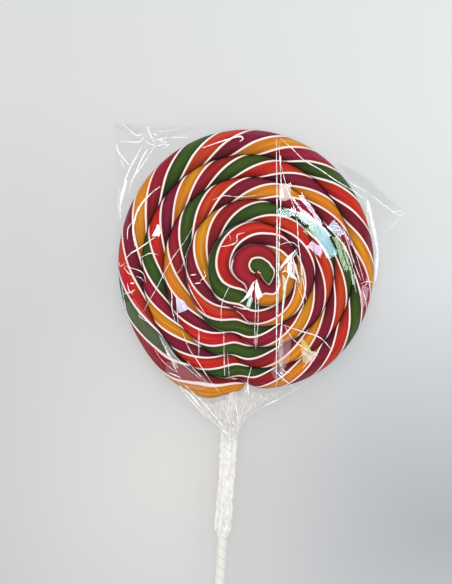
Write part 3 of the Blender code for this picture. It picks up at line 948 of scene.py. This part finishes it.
def rolled_paper():
    """Stick of tightly rolled white paper: matt, with the faint slanting edge of the roll."""
    material = new_material("rolled_paper")
    place = place_of(material)
    slant = add(material, "ShaderNodeMapping", {"Rotation": (0, 0, 0.5)}, _0=place)
    wraps = add(material, "ShaderNodeTexWave", {"bands_direction": "Y", "Scale": 70.0, "Distortion": 0.6},
                Vector=slant.outputs[0])
    tone = colour_ramp(material, wraps.outputs[0], ((0.0, "CCC7BF"), (0.12, "D8D5CF")))
    fibres = add(material, "ShaderNodeTexNoise", {"Scale": 1500.0, "Detail": 3.0}, Vector=place)
    bump = add(material, "ShaderNodeBump", {"Strength": 0.15, "Distance": 0.0001}, Height=fibres.outputs[0])
    shader = add(material, "ShaderNodeBsdfPrincipled", {"Roughness": 0.6}, Base_Color=tone,
                 Normal=bump.outputs[0])
    return finished(material, shader)


# ---------------------------------------------------------------- pieces

rope = make_rope()
rope.data.materials.append(pulled_sugar())
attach(rope, "root")
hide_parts("candy")

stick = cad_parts["stick"]
stick.data.materials.clear()
stick.data.materials.append(rolled_paper())

bag = make_bag()
bag.data.materials.append(cellophane())
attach(bag, "root")
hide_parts("wrapper")

facets = make_facets()
facets.data.materials.append(film_painted_reflections())
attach(facets, "root")

folds = make_folds()
folds.data.materials.append(creased_film_painted_glints())
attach(folds, "root")


# ---------------------------------------------------------------- floor, light and camera

VIEW_HEIGHT = 0.290837  # what the view spans up and down, at the height of the candy's top
VIEW_SHIFT = (-0.00777, -0.01519)  # the view's middle from the origin: right and up in the view
CAMERA_DISTANCE = 1.4
CAMERA_ROLL = 3.9
SENSOR = 36.0
VIEW_END = 20

# The floor's painted light and shade: its greys left and right on its far side, then on its near side, a
# painted pool of light, a painted shadow in one corner.
FLOOR_SIZE = 6
FLOOR_PAINTED_LIGHT_TONES = (("C3C5C4", "CDD0CF"), ("B6B6B8", "C1C4C8"))
FLOOR_ACROSS = (-0.11, 0.10)
FLOOR_AWAY = (-0.10, 0.08)
PAINTED_LIGHT_PATCH = (-0.030, -0.108)
PAINTED_LIGHT_REACH = 0.105
PAINTED_LIGHT_TONE = "C9C7C4"
PAINTED_SHADE_CORNER = (0.108, -0.128)
PAINTED_SHADE_REACH = 0.125
PAINTED_SHADE_SHARE = 0.66
FLOOR_MATT = 0.42
FLOOR_GLOW = 0.75


def around(material, place, spot, reach, start, end):
    """A value that goes from start at a spot of the floor to end as far away as the reach."""
    away = add(material, "ShaderNodeVectorMath", {"operation": "DISTANCE"}, _0=place)
    away.inputs[1].default_value = (*spot, 0)
    return remap(material, away.outputs["Value"], 0, reach, start, end)


def blended(material, share, first, second):
    """From the first colour to the second, each a hex code or another node's colour."""
    mixed = add(material, "ShaderNodeMix", {"data_type": "RGBA"}, _0=share)
    for socket, source in ((mixed.inputs[6], first), (mixed.inputs[7], second)):
        if isinstance(source, str):
            socket.default_value = colour(source)
        else:
            material.node_tree.links.new(source, socket)
    return mixed.outputs[2]


def pale_floor():
    """Smooth pale sheet lit a little from below, as on a light table, with light and shade painted into its
    grey.
    """
    material = new_material("pale_card")
    place = place_of(material)
    split = add(material, "ShaderNodeSeparateXYZ", _0=place)
    across = remap(material, split.outputs["X"], *FLOOR_ACROSS)
    # Painted light: the grey is lighter on the far side and to the right, darker near and to the left.
    far, near = (blended(material, across, left, right) for left, right in FLOOR_PAINTED_LIGHT_TONES)
    even = blended(material, remap(material, split.outputs["Y"], *FLOOR_AWAY), near, far)
    # A painted pool of light.
    lit = blended(material, around(material, place, PAINTED_LIGHT_PATCH, PAINTED_LIGHT_REACH, 1, 0), even, PAINTED_LIGHT_TONE)
    # A painted shadow that darkens one corner.
    painted_corner_shade = around(material, place, PAINTED_SHADE_CORNER, PAINTED_SHADE_REACH, PAINTED_SHADE_SHARE, 1)
    tone = add(material, "ShaderNodeVectorMath", {"operation": "SCALE"}, _0=lit, Scale=painted_corner_shade).outputs[0]
    matt = add(material, "ShaderNodeVectorMath", {"operation": "SCALE", "Scale": FLOOR_MATT}, _0=tone)
    shader = add(material, "ShaderNodeBsdfPrincipled", {"Roughness": 0.9, "Emission Strength": FLOOR_GLOW},
                 Base_Color=matt.outputs[0], Emission_Color=tone)
    bpy.ops.mesh.primitive_plane_add(size=FLOOR_SIZE)
    floor = bpy.context.object
    floor.name = "floor"
    floor.data.materials.append(finished(material, shader))


def soft_light(name, place, target, size, power, tint="FFFFFF", mirrored=False, turned=0.0):
    lamp = bpy.data.lights.new(name, "AREA")
    lamp.shape = "RECTANGLE"
    lamp.size, lamp.size_y = size
    lamp.energy = power
    lamp.color = colour(tint)[:3]
    light = bpy.data.objects.new(name, lamp)
    light.location = place
    light.rotation_euler = (Vector(target) - Vector(place)).to_track_quat("-Z", "Y").to_euler()
    light.rotation_euler.z += turned
    light.visible_glossy = mirrored
    bpy.context.scene.collection.objects.link(light)


def in_view(right, up):
    """A place on the floor, from the view's middle, by how far it is right and up in the view."""
    return Matrix.Rotation(math.radians(CAMERA_ROLL), 3, "Z") @ Vector((right, up, 0))


def make_camera():
    camera = bpy.data.objects.new("camera", bpy.data.cameras.new("camera"))
    bpy.context.scene.collection.objects.link(camera)
    camera.data.sensor_width = SENSOR
    camera.data.lens = SENSOR * CAMERA_DISTANCE / VIEW_HEIGHT
    camera.data.clip_end = VIEW_END
    camera.location = in_view(*VIEW_SHIFT) + Vector((0, 0, CANDY_HIGH.z + CAMERA_DISTANCE))
    camera.rotation_euler = (0, 0, math.radians(CAMERA_ROLL))
    bpy.context.scene.camera = camera
    return camera


SKY_HEIGHTS = (0.45, 0.75)  # where the sky dims, and how strong it is below and above
SKY_STRENGTHS = (0.95, 0.10)


def studio_sky():
    """Bright round the sides and dim overhead, like a light tent that is open at the top."""
    world = bpy.data.worlds.new("studio")
    world.use_nodes = True
    way = add(world, "ShaderNodeTexCoord")
    height = add(world, "ShaderNodeSeparateXYZ", _0=way.outputs["Generated"])
    strength = remap(world, height.outputs["Z"], *SKY_HEIGHTS, *SKY_STRENGTHS)
    background = world.node_tree.nodes["Background"]
    background.inputs["Color"].default_value = colour("F6F8FA")
    world.node_tree.links.new(strength, background.inputs["Strength"])
    bpy.context.scene.world = world


# Each lamp: its name, place, size and power. They all face the origin.
LAMPS = (("overhead", (0, 0.2, 1.7), (1.6, 1.6), 20), ("top", (-0.1, 1.5, 1.3), (1.6, 0.9), 11),
         ("left", (-1.5, -0.35, 1.2), (1.2, 0.9), 8), ("right", (1.5, -0.5, 1.2), (1.2, 0.9), 7))


def soft_lights():
    for name, place, size, power in LAMPS:
        soft_light(name, place, (0, 0, 0), size, power)
    bpy.context.scene.view_settings.view_transform = "Standard"


# The film mirrors a window's panes. Each: right and up from the camera, size, slant in degrees, colour.
PANE_HEIGHT = 1.3
PANE_GLOW = 40.0
PANES = (
    (0.081, 0.078, 0.036, 0.0042, -49, "D7ECFF"), (0.070, 0.080, 0.023, 0.0024, -52, "D7ECFF"),
    (0.055, 0.075, 0.010, 0.0067, 0, "BCD8E6"), (0.063, 0.076, 0.006, 0.0086, 0, "E6EEF6"),
    (0.077, 0.069, 0.019, 0.0086, -38, "ECFAFF"), (0.089, 0.057, 0.021, 0.0125, -46, "C0E4F4"),
    (0.097, 0.043, 0.019, 0.0086, -58, "A8D4E4"), (0.105, 0.060, 0.016, 0.0086, -38, "A8E2F8"),
    (0.081, 0.058, 0.009, 0.0077, -30, "8CA07C"), (0.085, 0.042, 0.017, 0.0086, -28, "D0DCFF"),
    (0.108, 0.035, 0.033, 0.0038, -68, "A6BA9C"), (0.115, 0.027, 0.040, 0.0029, -70, "88A882"),
    (0.115, 0.053, 0.021, 0.0019, -65, "E4CCDC"), (0.058, 0.097, 0.009, 0.0115, 0, "D8CCD0"),
)


def window_panes(camera):
    for i, (right, up, length, width, slant, tint) in enumerate(PANES):
        x, y = (camera.location + in_view(right, up)).xy
        soft_light("pane_" + str(i + 1), (x, y, PANE_HEIGHT), (x, y, 0), (length, width),
                   PANE_GLOW * math.pi * length * width, tint, mirrored=True, turned=math.radians(slant))


pale_floor()
studio_sky()
soft_lights()
window_panes(make_camera())
